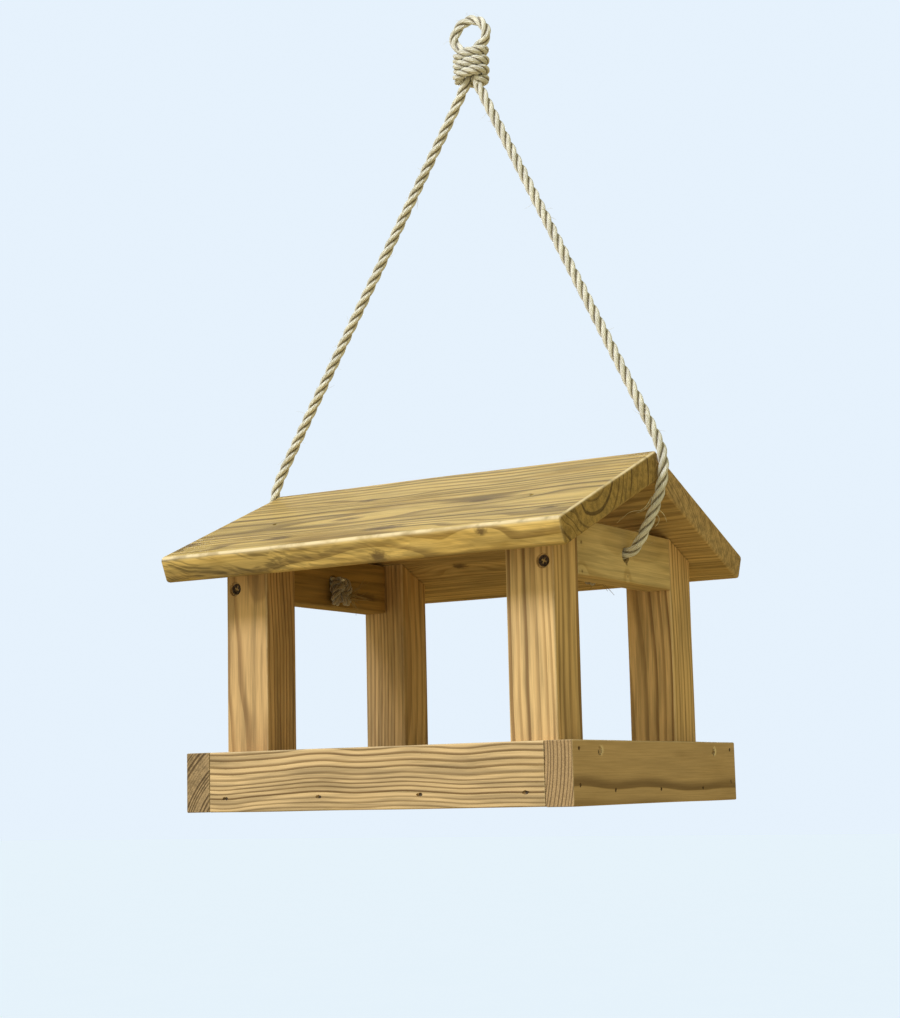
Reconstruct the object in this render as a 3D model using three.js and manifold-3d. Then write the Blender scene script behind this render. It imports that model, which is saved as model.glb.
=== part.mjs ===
// A wooden hanging bird table: a square-railed feeding tray, four corner posts, a cross rail
// at each end, a two-board pitched roof, and a rope sling that leads up to a hanging loop.
// Millimetres, +Z up. X runs along the ridge, from the left end to the right end; the front
// faces -Y. The origin is the top of the inside of the hanging loop, where a hook bears.

import * as THREE from 'three';
import { mergeVertices } from 'three/addons/utils/BufferGeometryUtils.js';
import Module from 'manifold-3d';

const wasm = await Module();
wasm.setup();

// ---------- Driving dimensions ----------

const gap = 0.3;                // clearance between pieces that touch

const trayLength = 283;         // along X, over the end rails
const trayDepth = 229;          // along Y, over the long rails
const railHeight = 38;
const endRailThickness = 18.6;
const longRailThickness = 18.3;

const floorThickness = 9;
const floorUnderside = 4;       // the floor sits this far above the rails' bottom edges

const postWidth = 33;           // along X
const postDepth = 31;           // along Y

const crossRailThickness = 18.3;
const crossRailBottom = 138.3;
const crossRailTop = 172.6;

const ridgeHeight = 220.6;      // top of the ridge above the tray's underside
const roofPitch = THREE.MathUtils.degToRad(23.2);
const roofThickness = 17.9;
const roofHalfSpan = 130.8;     // from the ridge to the eave's upper corner, level
const roofLength = 297.1;
const roofShift = -2;           // the roof is fixed a little towards the left end
const eaveRound = 3.5;          // radius of the eave's two rounded arrises

const ropeRadius = 3.5;
const ropeSides = 10;
const ropeHoleRadius = 5;
const ropeHoleHeight = 155.6;
const ropeRise = 1;             // the pulled rope lies this far above its hole's centre

const hangHeight = 534;         // the hook's bearing point above the tray's underside
const hangOffset = 17.6;        // and to the right of the tray's middle
const loopRadius = 13;          // of the hanging loop's middle line
const loopKnotHeight = 500.5;   // three turns of the rope bind the loop's foot
const loopKnotHalfHeight = 10.5;
const loopKnotHalfWidth = 14;   // along X, where two ropes lie side by side inside it
const loopKnotHalfDepth = 10.5;
const stopperRadius = 10;
const stopperHalfLength = 8;
const stopperDrop = 4;          // the stopper knots hang a little below their holes

// ---------- Places that follow from them ----------

const trayRight = trayLength / 2;
const trayFront = -trayDepth / 2;
const frameRight = trayRight - endRailThickness;   // inner face of the right end rail
const frameFront = trayFront + longRailThickness;  // inner face of the front rail
const floorTop = floorUnderside + floorThickness;
const floorMiddle = floorUnderside + floorThickness / 2;
const crossRailInner = frameRight - gap - crossRailThickness;
const plumbThickness = roofThickness / Math.cos(roofPitch);
const ropeLine = ropeHoleHeight + ropeRise;

const roofTopAt = (y) => ridgeHeight - Math.abs(y) * Math.tan(roofPitch);
const roofUndersideAt = (y) => roofTopAt(y) - plumbThickness;

// ---------- Materials ----------

const finish = (color, roughness, metalness) =>
  new THREE.MeshStandardMaterial({ color, roughness, metalness });

const pine = () => finish(0xb39762, 0.78, 0);
const plywood = () => finish(0xa98d5c, 0.8, 0);
const steel = () => finish(0x55493f, 0.5, 0.8);
const rope = () => finish(0xd8cda4, 0.9, 0);

// ---------- Solids ----------

// A closed three.js geometry as a solid that can be joined and cut.
function toSolid(geometry) {
  const bare = geometry.clone();
  bare.deleteAttribute('normal');
  bare.deleteAttribute('uv');
  const merged = mergeVertices(bare, 1e-4);
  const vertProperties = Float32Array.from(merged.attributes.position.array);
  const triVerts = Uint32Array.from(merged.index.array);
  return new wasm.Manifold(new wasm.Mesh({ numProp: 3, vertProperties, triVerts }));
}

function toGeometry(solid) {
  const { vertProperties, triVerts } = solid.getMesh();
  const geometry = new THREE.BufferGeometry();
  geometry.setAttribute('position', new THREE.BufferAttribute(vertProperties, 3));
  geometry.setIndex(new THREE.BufferAttribute(triVerts, 1));
  return geometry.toNonIndexed();
}

// A rectangular block between two opposite corners.
function block(low, high) {
  const size = high.map((value, i) => value - low[i]);
  const centre = high.map((value, i) => (value + low[i]) / 2);
  return new THREE.BoxGeometry(...size).translate(...centre);
}

// An outline in the YZ plane, run along X from one end to the other.
function prismAlongX(shape, fromX, toX, curveSegments = 5) {
  const options = { depth: toX - fromX, bevelEnabled: false, curveSegments };
  const geometry = new THREE.ExtrudeGeometry(shape, options);
  const turn = new THREE.Matrix4().makeBasis(
    new THREE.Vector3(0, 1, 0),
    new THREE.Vector3(0, 0, 1),
    new THREE.Vector3(1, 0, 0),
  );
  return geometry.applyMatrix4(turn).translate(fromX, 0, 0);
}

// A solid of revolution from [radius, depth] pairs. Its axis is +Y, the way it is driven.
function turned(profile, sides) {
  const points = profile.map(([radius, depth]) => new THREE.Vector2(radius, depth));
  return new THREE.LatheGeometry(points, sides);
}

// The turn that points a turned solid's axis along a direction.
function aimedAlong(direction) {
  const target = new THREE.Vector3(...direction).normalize();
  return new THREE.Quaternion().setFromUnitVectors(new THREE.Vector3(0, 1, 0), target);
}

// ---------- Fasteners ----------
// Each kind has the profile of its metal, the profile of the hole that it sits in, and the
// number of flats on both. Depth 0 is the wood's surface, and the heads lie below it.

const crossRailScrew = {
  sides: 16,
  metal: [[0, 1], [3.5, 1], [3.5, 1.4], [1.75, 3.6], [1.75, 45], [0, 50]],
  hole: [[0, -1], [3.95, -1], [3.95, 1.5], [2.15, 3.7], [2.15, 51], [0, 51]],
};

const postNail = {
  sides: 12,
  metal: [[0, 1.6], [1.75, 1.6], [1.75, 2.6], [1.3, 3.2], [1.3, 38], [0, 41]],
  hole: [[0, -1], [2.15, -1], [2.15, 2.8], [1.7, 3.4], [1.7, 42], [0, 42]],
};

const panelPin = {
  sides: 8,
  metal: [[0, 1.2], [1.05, 1.2], [1.05, 1.9], [0.8, 2.3], [0.8, 28.5], [0, 30]],
  hole: [[0, -1], [1.5, -1], [1.5, 2.1], [1.25, 2.5], [1.25, 31], [0, 31]],
};

const roofPin = {
  sides: 8,
  metal: [[0, 1.8], [1.2, 1.8], [1.2, 2.6], [0.95, 3], [0.95, 43], [0, 45]],
  hole: [[0, -3], [1.65, -3], [1.65, 2.8], [1.4, 3.2], [1.4, 46], [0, 46]],
};

// The two crossed slots that a driver turns the screw by.
function cutCrossRecess(head) {
  const slotLength = 4.4;
  const slotWidth = 1.1;
  const recessTop = 0.5;
  const recessBottom = 3;
  const long = slotLength / 2;
  const thin = slotWidth / 2;
  const oneWay = toSolid(block([-long, recessTop, -thin], [long, recessBottom, thin]));
  const otherWay = toSolid(block([-thin, recessTop, -long], [thin, recessBottom, long]));
  return toSolid(head).subtract(oneWay.add(otherWay));
}

// Where every fastener goes: its kind, the point where it enters and the way it is driven.
function fastenerPlan() {
  const plan = [];
  const drive = (name, kind, at, into) => plan.push({ name, kind, at, into });
  const ends = [['left', -1], ['right', 1]];
  const faces = [['front', -1], ['back', 1]];

  const screwFromMiddle = 115.5;
  const screwHeight = 144.5;
  const nailFromMiddle = 80.6;
  const nailHeight = 31.5;
  const cornerPinFromMiddle = 106.5;
  const roofPinFromMiddle = 98;
  const roofPinFromRidge = 76;

  for (const [end, x] of ends) {
    for (const [face, y] of faces) {
      const postFace = y * (-frameFront - gap);
      drive(`cross_rail_screw_${face}_${end}`, crossRailScrew,
        [x * screwFromMiddle, postFace, screwHeight], [0, -y, 0]);
      drive(`post_nail_${face}_${end}`, postNail,
        [x * trayRight, y * nailFromMiddle, nailHeight], [-x, 0, 0]);
      drive(`roof_pin_${face}_${end}`, roofPin,
        [x * roofPinFromMiddle, y * roofPinFromRidge, roofTopAt(roofPinFromRidge)], [0, 0, -1]);
      for (const [level, z] of [['lower', 12], ['upper', 33]]) {
        drive(`corner_pin_${face}_${end}_${level}`, panelPin,
          [x * trayRight, y * cornerPinFromMiddle, z], [-x, 0, 0]);
      }
    }
    [-62, 0, 62].forEach((y, i) => {
      drive(`floor_pin_${end}_${i + 1}`, panelPin, [x * trayRight, y, floorMiddle], [-x, 0, 0]);
    });
  }
  for (const [face, y] of faces) {
    [-110, -37, 37, 110].forEach((x, i) => {
      drive(`floor_pin_${face}_${i + 1}`, panelPin, [x, y * -trayFront, floorMiddle], [0, -y, 0]);
    });
  }
  return plan;
}

const fasteners = fastenerPlan();

// Cuts every fastener's hole that reaches into this piece.
function drilled(geometry) {
  let solid = toSolid(geometry);
  for (const { kind, at, into } of fasteners) {
    const hole = turned(kind.hole, kind.sides).applyQuaternion(aimedAlong(into)).translate(...at);
    solid = solid.subtract(toSolid(hole));
  }
  return solid;
}

// ---------- The feeder's wood ----------

// A rope hole drilled along X through both cross rails' line.
function ropeBore() {
  const reach = trayRight + 10;
  const profile = [[0, -reach], [ropeHoleRadius, -reach], [ropeHoleRadius, reach], [0, reach]];
  const bore = turned(profile, 20).applyQuaternion(aimedAlong([1, 0, 0]));
  return toSolid(bore.translate(0, 0, ropeHoleHeight));
}

function endRail(side) {
  const inner = side * frameRight;
  const outer = side * trayRight;
  return drilled(block(
    [Math.min(inner, outer), trayFront, 0],
    [Math.max(inner, outer), -trayFront, railHeight],
  ));
}

function longRail(side) {
  const reach = frameRight - gap;
  const inner = side * -frameFront;
  const outer = side * -trayFront;
  return drilled(block(
    [-reach, Math.min(inner, outer), 0],
    [reach, Math.max(inner, outer), railHeight],
  ));
}

function trayFloor() {
  const halfLength = frameRight - gap;
  const halfDepth = -frameFront - gap;
  return drilled(block(
    [-halfLength, -halfDepth, floorUnderside],
    [halfLength, halfDepth, floorTop],
  ));
}

// A post stands on the floor in the tray's corner, its head cut to the slope of the roof.
function cornerPost(sideX, sideY) {
  const outerY = sideY * (-frameFront - gap);
  const innerY = sideY * (-frameFront - gap - postDepth);
  const outerX = sideX * (frameRight - gap);
  const innerX = sideX * (frameRight - gap - postWidth);
  const foot = floorTop + gap;
  const shape = new THREE.Shape([
    new THREE.Vector2(outerY, foot),
    new THREE.Vector2(innerY, foot),
    new THREE.Vector2(innerY, roofUndersideAt(innerY) - gap),
    new THREE.Vector2(outerY, roofUndersideAt(outerY) - gap),
  ]);
  return drilled(prismAlongX(shape, Math.min(outerX, innerX), Math.max(outerX, innerX)));
}

// A cross rail fits between an end's two posts, flush with their outer faces.
function crossRail(side) {
  const outer = side * (frameRight - gap);
  const inner = side * crossRailInner;
  const halfLength = -frameFront - gap - postDepth - gap;
  return drilled(block(
    [Math.min(inner, outer), -halfLength, crossRailBottom],
    [Math.max(inner, outer), halfLength, crossRailTop],
  )).subtract(ropeBore());
}

// A roof board: cut plumb where it meets its neighbour at the ridge, square and
// round-edged at the eave. The outline runs ridge, eave top, eave bottom, ridge underside.
function roofBoard(side) {
  const slope = new THREE.Vector2(side * Math.cos(roofPitch), -Math.sin(roofPitch));
  const inward = new THREE.Vector2(-side * Math.sin(roofPitch), -Math.cos(roofPitch));
  const ridgeY = side * gap / 2;
  const eaveTop = new THREE.Vector2(side * roofHalfSpan, roofTopAt(roofHalfSpan));
  const eaveBottom = eaveTop.clone().addScaledVector(inward, roofThickness);
  const beforeTop = eaveTop.clone().addScaledVector(slope, -eaveRound);
  const afterTop = eaveTop.clone().addScaledVector(inward, eaveRound);
  const beforeBottom = eaveBottom.clone().addScaledVector(inward, -eaveRound);
  const afterBottom = eaveBottom.clone().addScaledVector(slope, -eaveRound);

  const shape = new THREE.Shape();
  shape.moveTo(ridgeY, roofTopAt(ridgeY));
  shape.lineTo(beforeTop.x, beforeTop.y);
  shape.quadraticCurveTo(eaveTop.x, eaveTop.y, afterTop.x, afterTop.y);
  shape.lineTo(beforeBottom.x, beforeBottom.y);
  shape.quadraticCurveTo(eaveBottom.x, eaveBottom.y, afterBottom.x, afterBottom.y);
  shape.lineTo(ridgeY, roofUndersideAt(ridgeY));
  const halfLength = roofLength / 2;
  return drilled(prismAlongX(shape, roofShift - halfLength, roofShift + halfLength));
}

// ---------- The rope ----------
// One line of rope runs from a stopper knot inside the left cross rail, out of its hole,
// round the left end of the ridge, up to the loop knot and down the same way on the right.
// Routes are hand-placed points in the plane of the ridge, as [x, z].

// Round the right-hand end of the ridge: from the hole up to the height where the rope
// starts to lean in. The left end mirrors it, moved by the roof's shift.
const tailRoute = [
  [105.4, ropeLine], [112, ropeLine], [120.5, ropeLine], [124.6, ropeLine + 0.5],
  [128.2, 158.8], [131.2, 161.6], [133.8, 165.4], [137.6, 171.9], [141.6, 179.2],
  [145.2, 186.6], [148.3, 194.6], [150.5, 202.2], [151.4, 208.4],
];
const legStart = [[151.5, 211.6], [151.1, 217.4], [149.3, 224.6], [146.2, 232]];
const legTop = { left: [8, 483.2], right: [26.2, 483.2] };

function ropeTube(route, steps) {
  const points = route.map(([x, z]) => new THREE.Vector3(x, 0, z));
  const path = new THREE.CatmullRomCurve3(points, false, 'centripetal');
  const ring = [];
  for (let i = 0; i < ropeSides; i += 1) {
    const angle = 2 * Math.PI * i / ropeSides;
    ring.push(new THREE.Vector2(Math.cos(angle), Math.sin(angle)).multiplyScalar(ropeRadius));
  }
  const options = { steps, extrudePath: path, curveSegments: 1 };
  return toSolid(new THREE.ExtrudeGeometry(new THREE.Shape(ring), options));
}

// Moves a right-hand route to the left end, where the roof's shift carries it outwards.
function atLeftEnd(route, ridgeStretch) {
  return route.map(([x, z]) => {
    const share = ridgeStretch ? 1 : Math.min(1, Math.max(0, (z - ropeLine) / 40));
    return [-x + 2 * roofShift * share, z];
  });
}

function ropeTail(end) {
  return ropeTube(end === 'right' ? tailRoute : atLeftEnd(tailRoute, false), 22);
}

function ropeLeg(end) {
  const start = end === 'right' ? legStart : atLeftEnd(legStart, true);
  return ropeTube([...start, legTop[end]], 24);
}

// The hanging loop leaves the loop knot's top and comes back into it.
function hangingLoop() {
  const foot = loopKnotHeight + loopKnotHalfHeight + 2 * gap;
  const centreHeight = hangHeight + ropeRadius - loopRadius;
  const route = [[-3.8, foot], [-4.4, foot + 3.4], [-7.6, foot + 6.4], [-11.3, foot + 9.2]];
  for (let degrees = 180; degrees >= 0; degrees -= 22.5) {
    const angle = THREE.MathUtils.degToRad(degrees);
    route.push([loopRadius * Math.cos(angle), centreHeight + loopRadius * Math.sin(angle)]);
  }
  route.push([11.3, foot + 9.2], [7.6, foot + 6.4], [4.4, foot + 3.4], [3.8, foot]);
  return ropeTube(route.map(([x, z]) => [x + hangOffset, z]), 24);
}

// The loop knot: the oval barrel that its turns of rope fill.
function loopKnot() {
  const half = loopKnotHalfHeight;
  const shoulder = 3;
  const narrow = 1 - shoulder / loopKnotHalfWidth;
  const profile = [[0, -half], [narrow, -half], [1, shoulder - half],
    [1, half - shoulder], [narrow, half], [0, half]];
  const barrel = turned(profile, 20).applyQuaternion(aimedAlong([0, 0, 1]));
  barrel.scale(loopKnotHalfWidth, loopKnotHalfDepth, 1);
  return toSolid(barrel.translate(hangOffset, 0, loopKnotHeight));
}

// A stopper knot: the plain egg-shaped solid that it fills, against a cross rail's inner face.
function stopperKnot(side) {
  const profile = [];
  const bands = 8;
  for (let i = 0; i <= bands; i += 1) {
    const angle = Math.PI * i / bands;
    const radius = i === 0 || i === bands ? 0 : stopperRadius * Math.sin(angle);
    profile.push([radius, -stopperHalfLength * Math.cos(angle)]);
  }
  const egg = turned(profile, 14).applyQuaternion(aimedAlong([side, 0, 0]));
  const fromMiddle = crossRailInner - gap - stopperHalfLength;
  return toSolid(egg.translate(side * fromMiddle, 0, ropeHoleHeight - stopperDrop));
}

// ---------- Assembly ----------

const feeder = new THREE.Group();
feeder.position.set(-hangOffset, 0, -hangHeight);

function addMesh(name, solid, material) {
  const mesh = new THREE.Mesh(toGeometry(solid), material);
  mesh.name = name;
  feeder.add(mesh);
  return mesh;
}

addMesh('tray_front_rail', longRail(-1), pine());
addMesh('tray_back_rail', longRail(1), pine());
addMesh('tray_left_end_rail', endRail(-1), pine());
addMesh('tray_right_end_rail', endRail(1), pine());
addMesh('tray_floor', trayFloor(), plywood());
addMesh('post_front_left', cornerPost(-1, -1), pine());
addMesh('post_front_right', cornerPost(1, -1), pine());
addMesh('post_back_left', cornerPost(-1, 1), pine());
addMesh('post_back_right', cornerPost(1, 1), pine());
addMesh('cross_rail_left', crossRail(-1), pine());
addMesh('cross_rail_right', crossRail(1), pine());
addMesh('roof_board_front', roofBoard(-1), pine());
addMesh('roof_board_back', roofBoard(1), pine());

for (const { name, kind, at, into } of fasteners) {
  const blank = turned(kind.metal, kind.sides);
  const metal = kind === crossRailScrew ? cutCrossRecess(blank) : toSolid(blank);
  const mesh = addMesh(name, metal, steel());
  mesh.position.set(...at);
  mesh.quaternion.copy(aimedAlong(into));
}

addMesh('rope_tail_left', ropeTail('left'), rope());
addMesh('rope_tail_right', ropeTail('right'), rope());
addMesh('rope_leg_left', ropeLeg('left'), rope());
addMesh('rope_leg_right', ropeLeg('right'), rope());
addMesh('hanging_loop', hangingLoop(), rope());
addMesh('loop_knot', loopKnot(), rope());
addMesh('stopper_knot_left', stopperKnot(-1), rope());
addMesh('stopper_knot_right', stopperKnot(1), rope());

const part = new THREE.Group();
part.add(feeder);

export default part;
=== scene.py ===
"""A wooden hanging bird feeder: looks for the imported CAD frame. Metres, +Z up, front towards -Y."""

import math
import random

import bmesh
import bpy
from mathutils import Matrix, Vector, noise


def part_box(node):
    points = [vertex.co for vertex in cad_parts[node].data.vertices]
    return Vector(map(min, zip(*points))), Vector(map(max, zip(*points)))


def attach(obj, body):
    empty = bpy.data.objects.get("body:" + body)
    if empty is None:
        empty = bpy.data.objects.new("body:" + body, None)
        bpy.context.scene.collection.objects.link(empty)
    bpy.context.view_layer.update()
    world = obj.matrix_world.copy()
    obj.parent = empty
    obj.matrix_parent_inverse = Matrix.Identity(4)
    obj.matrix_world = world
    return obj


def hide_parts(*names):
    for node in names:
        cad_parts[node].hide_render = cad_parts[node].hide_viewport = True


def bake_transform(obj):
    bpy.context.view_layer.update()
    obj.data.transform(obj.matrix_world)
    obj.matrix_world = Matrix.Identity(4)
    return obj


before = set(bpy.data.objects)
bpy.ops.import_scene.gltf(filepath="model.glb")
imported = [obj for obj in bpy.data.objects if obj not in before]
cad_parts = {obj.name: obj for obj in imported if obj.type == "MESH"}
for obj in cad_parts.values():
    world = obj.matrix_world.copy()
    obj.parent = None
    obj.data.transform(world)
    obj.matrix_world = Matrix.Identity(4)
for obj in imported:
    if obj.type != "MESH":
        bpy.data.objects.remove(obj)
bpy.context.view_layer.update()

MM = 0.001

# ---------- Where things are ----------
# Places in this file are millimetres from the datum: the middle of the tray's underside.

low_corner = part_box("tray_left_end_rail")[0]
high_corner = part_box("tray_right_end_rail")[1]
DATUM = Vector(((low_corner.x + high_corner.x) / 2, 0, low_corner.z))


def at(x, y, z):
    """A place in millimetres from the datum, as a point in the frame."""
    return DATUM + Vector((x, y, z)) * MM


def box_mm(node):
    """A CAD node's corners, in millimetres from the datum."""
    low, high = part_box(node)
    return (low - DATUM) / MM, (high - DATUM) / MM


# ---------- Camera ----------

CAMERA_AT = (662.7, -1085.3, 11.9)
CAMERA_AZIMUTH = math.radians(31.70)
CAMERA_PITCH = math.radians(8.30)
CAMERA_ROLL = math.radians(-1.32)
FOCAL_LENGTH = 67.67


def add_camera():
    data = bpy.data.cameras.new("camera")
    data.lens = FOCAL_LENGTH
    data.sensor_width = 36
    data.clip_start = 0.01
    data.clip_end = 100
    camera = bpy.data.objects.new("camera", data)
    turn = Matrix.Rotation(CAMERA_AZIMUTH, 4, "Z")
    tip = Matrix.Rotation(math.pi / 2 + CAMERA_PITCH, 4, "X")
    roll = Matrix.Rotation(CAMERA_ROLL, 4, "Z")
    camera.matrix_world = Matrix.Translation(at(*CAMERA_AT)) @ turn @ tip @ roll
    bpy.context.scene.collection.objects.link(camera)
    bpy.context.scene.camera = camera


add_camera()

# ---------- Node helpers ----------


class Nodes:
    """Short calls that add a node to a tree and return its output."""

    def __init__(self, tree):
        self.tree = tree

    def node(self, kind, **settings):
        made = self.tree.nodes.new(kind)
        for key, value in settings.items():
            setattr(made, key, value)
        return made

    def put(self, value, socket):
        """Sets a socket to a number, a tuple or another node's output."""
        if isinstance(value, bpy.types.NodeSocket):
            self.tree.links.new(value, socket)
        else:
            socket.default_value = value

    def math(self, operation, a, b=0.0, c=0.0):
        made = self.node("ShaderNodeMath", operation=operation)
        for value, socket in zip((a, b, c), made.inputs):
            self.put(value, socket)
        return made.outputs[0]

    def vector(self, operation, a, b=(0, 0, 0)):
        made = self.node("ShaderNodeVectorMath", operation=operation)
        self.put(a, made.inputs[0])
        self.put(b, made.inputs["Scale" if operation == "SCALE" else 1])
        single = operation in ("LENGTH", "DOT_PRODUCT", "DISTANCE")
        return made.outputs["Value" if single else "Vector"]

    def scale(self, vector, amount):
        return self.vector("SCALE", vector, amount)

    def parts(self, vector):
        """The x, y and z of a vector."""
        made = self.node("ShaderNodeSeparateXYZ")
        self.put(vector, made.inputs[0])
        return made.outputs

    def place(self):
        """The point being shaded. The pieces' own axes are the frame's, in metres."""
        return self.node("ShaderNodeTexCoord").outputs["Object"]

    def attribute(self, name):
        return self.node("ShaderNodeAttribute", attribute_name=name).outputs["Fac"]

    def noise(self, where, scale, detail=2.0, roughness=0.5, dimensions="3D", output=0):
        made = self.node("ShaderNodeTexNoise", noise_dimensions=dimensions)
        self.put(where, made.inputs["W" if dimensions == "1D" else "Vector"])
        made.inputs["Scale"].default_value = scale
        made.inputs["Detail"].default_value = detail
        made.inputs["Roughness"].default_value = roughness
        return made.outputs[output]

    def wander(self, start, where, reach, scale, detail):
        """Moves points from start by up to half of reach each way, by a noise of where."""
        drift = self.noise(where, scale, detail, output="Color")
        centred = self.vector("ADD", drift, (-0.5, -0.5, -0.5))
        return self.vector("ADD", start, self.scale(centred, reach))

    def step(self, value, start, end, low=0.0, high=1.0):
        """Turns smoothly from low to high as the value goes from start to end."""
        made = self.node("ShaderNodeMapRange", interpolation_type="SMOOTHSTEP")
        for item, socket in zip((value, start, end, low, high), made.inputs):
            self.put(item, socket)
        return made.outputs[0]

    def mix(self, share, a, b, blend="MIX"):
        made = self.node("ShaderNodeMix", data_type="RGBA", blend_type=blend)
        self.put(share, made.inputs["Factor"])
        for value, socket in ((a, made.inputs[6]), (b, made.inputs[7])):
            self.put((*value, 1) if isinstance(value, tuple) else value, socket)
        return made.outputs[2]

    def bump(self, height, distance):
        made = self.node("ShaderNodeBump")
        made.inputs["Distance"].default_value = distance
        self.put(height, made.inputs["Height"])
        return made.outputs[0]


class Surface(Nodes):
    """The nodes of a new material."""

    def __init__(self, name):
        self.material = bpy.data.materials.new(name)
        self.material.use_nodes = True
        super().__init__(self.material.node_tree)

    def finish(self, colour, roughness, others):
        """Sets the shader's sockets, others by their names, and returns the material."""
        sockets = self.tree.nodes["Principled BSDF"].inputs
        for name, value in {"Base Color": colour, "Roughness": roughness, **others}.items():
            self.put(value, sockets[name])
        return self.material


# ---------- Wood ----------

GRAIN_TURNS = {
    "X": (0, math.pi / 2, 0),
    "Y": (-math.pi / 2, 0, 0),
    "Z": (0, 0, 0),
}
GRAIN_VECTORS = {"X": (1, 0, 0), "Y": (0, 1, 0), "Z": (0, 0, 1)}

# The colours of one tree: pale early wood, then the late wood that ends each year's ring.
PALE = (0.66, 0.475, 0.225)
DARK = (0.25, 0.145, 0.048)
HEART = (0.085, 0.045, 0.016)
FRESH = (0.88, 0.72, 0.43)


def measured_from_pith(n, place, grain, pith, tilt):
    """Places as seen from the pith, with the tree's middle line as the z axis."""
    turned = n.node("ShaderNodeVectorRotate", rotation_type="EULER_XYZ", invert=True)
    n.put(n.vector("SUBTRACT", place, tuple(at(*pith))), turned.inputs["Vector"])
    x, y, z = GRAIN_TURNS[grain]
    turned.inputs["Rotation"].default_value = (x + tilt, y + tilt / 2, z)
    return turned.outputs["Vector"]


def part_round_knots(n, place, grain, knots, radius):
    """Pushes the rings aside round each knot. Returns their radius and where knots show.

    A knot is darkest in its middle and ragged at its edge.
    """
    knot_share = None
    for spot, size, stretch in knots:
        size *= MM
        away = n.vector("SUBTRACT", place, tuple(at(*spot)))
        squeeze = tuple(1 / stretch if axis == grain else 1.0 for axis in "XYZ")
        # The rings part over twice the knot's length, or twice its width where it is round.
        gentle = tuple(c / 2 if c == 1 / stretch else c for c in squeeze)
        flow = n.vector("LENGTH", n.vector("MULTIPLY", away, gentle))
        near = n.step(flow, size * 0.5, size * 3.4, 1.0, 0.0)
        radius = n.math("MULTIPLY_ADD", near, size * 1.5, radius)
        ragged = n.noise(n.vector("MULTIPLY", place, squeeze), 420, 3.0, 0.7)
        roughen = n.math("MULTIPLY_ADD", ragged, size * 1.4, -size * 0.7)
        distance = n.vector("LENGTH", n.vector("MULTIPLY", away, squeeze))
        share = n.step(n.math("ADD", distance, roughen), size * 0.25, size * 1.25, 1.0, 0.0)
        knot_share = share if knot_share is None else n.math("MAXIMUM", knot_share, share)
    return radius, knot_share


def late_wood(n, radius, spacing, line, first_ring):
    """How much of the dark line that ends a year's ring there is at a radius."""
    # Some years grow wide and some narrow, and some end in a darker line than others.
    years = n.noise(n.math("DIVIDE", radius, spacing * 6 * MM), 1.0, 1.0, dimensions="1D")
    phase = n.math("MULTIPLY_ADD", radius, 1 / (spacing * MM), first_ring)
    phase = n.math("ADD", phase, n.math("MULTIPLY", years, 2.6))
    season = n.math("FRACT", phase)
    lottery = n.node("ShaderNodeTexWhiteNoise", noise_dimensions="1D")
    n.put(n.math("FLOOR", phase), lottery.inputs["W"])
    rise = n.step(season, 1 - line * 1.4, 1 - line * 0.5)
    late = n.math("MULTIPLY", rise, n.step(season, 0.93, 1.0, 1.0, 0.0))
    return n.math("MULTIPLY", late, n.math("MULTIPLY_ADD", lottery.outputs[0], 0.5, 0.5))


def slanted_streaks(n, place, facing, face, colour):
    """Shades a face where the fibres run out at a slant, most strongly at its left end."""
    slant = math.radians(-15)
    slanted = n.node("ShaderNodeVectorRotate", rotation_type="Y_AXIS")
    n.put(n.wander(place, place, 11 * MM, 26, 2.0), slanted.inputs["Vector"])
    slanted.inputs["Angle"].default_value = slant
    slivers = n.noise(n.vector("MULTIPLY", slanted.outputs[0], (0.045, 1, 1)), 460, 2.0, 0.55)
    to_right = n.step(n.parts(place)[0], at(-100, 0, 0).x, at(90, 0, 0).x)
    darkest = n.math("MULTIPLY_ADD", to_right, 0.86, 0.60)
    palest = n.math("MULTIPLY_ADD", to_right, 0.30, 1.38)
    shade = n.step(slivers, 0.40, 0.62, palest, darkest)
    on_face = n.step(n.vector("DOT_PRODUCT", facing, face), 0.75, 0.95)
    return n.mix(on_face, colour, n.scale(colour, shade))


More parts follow.
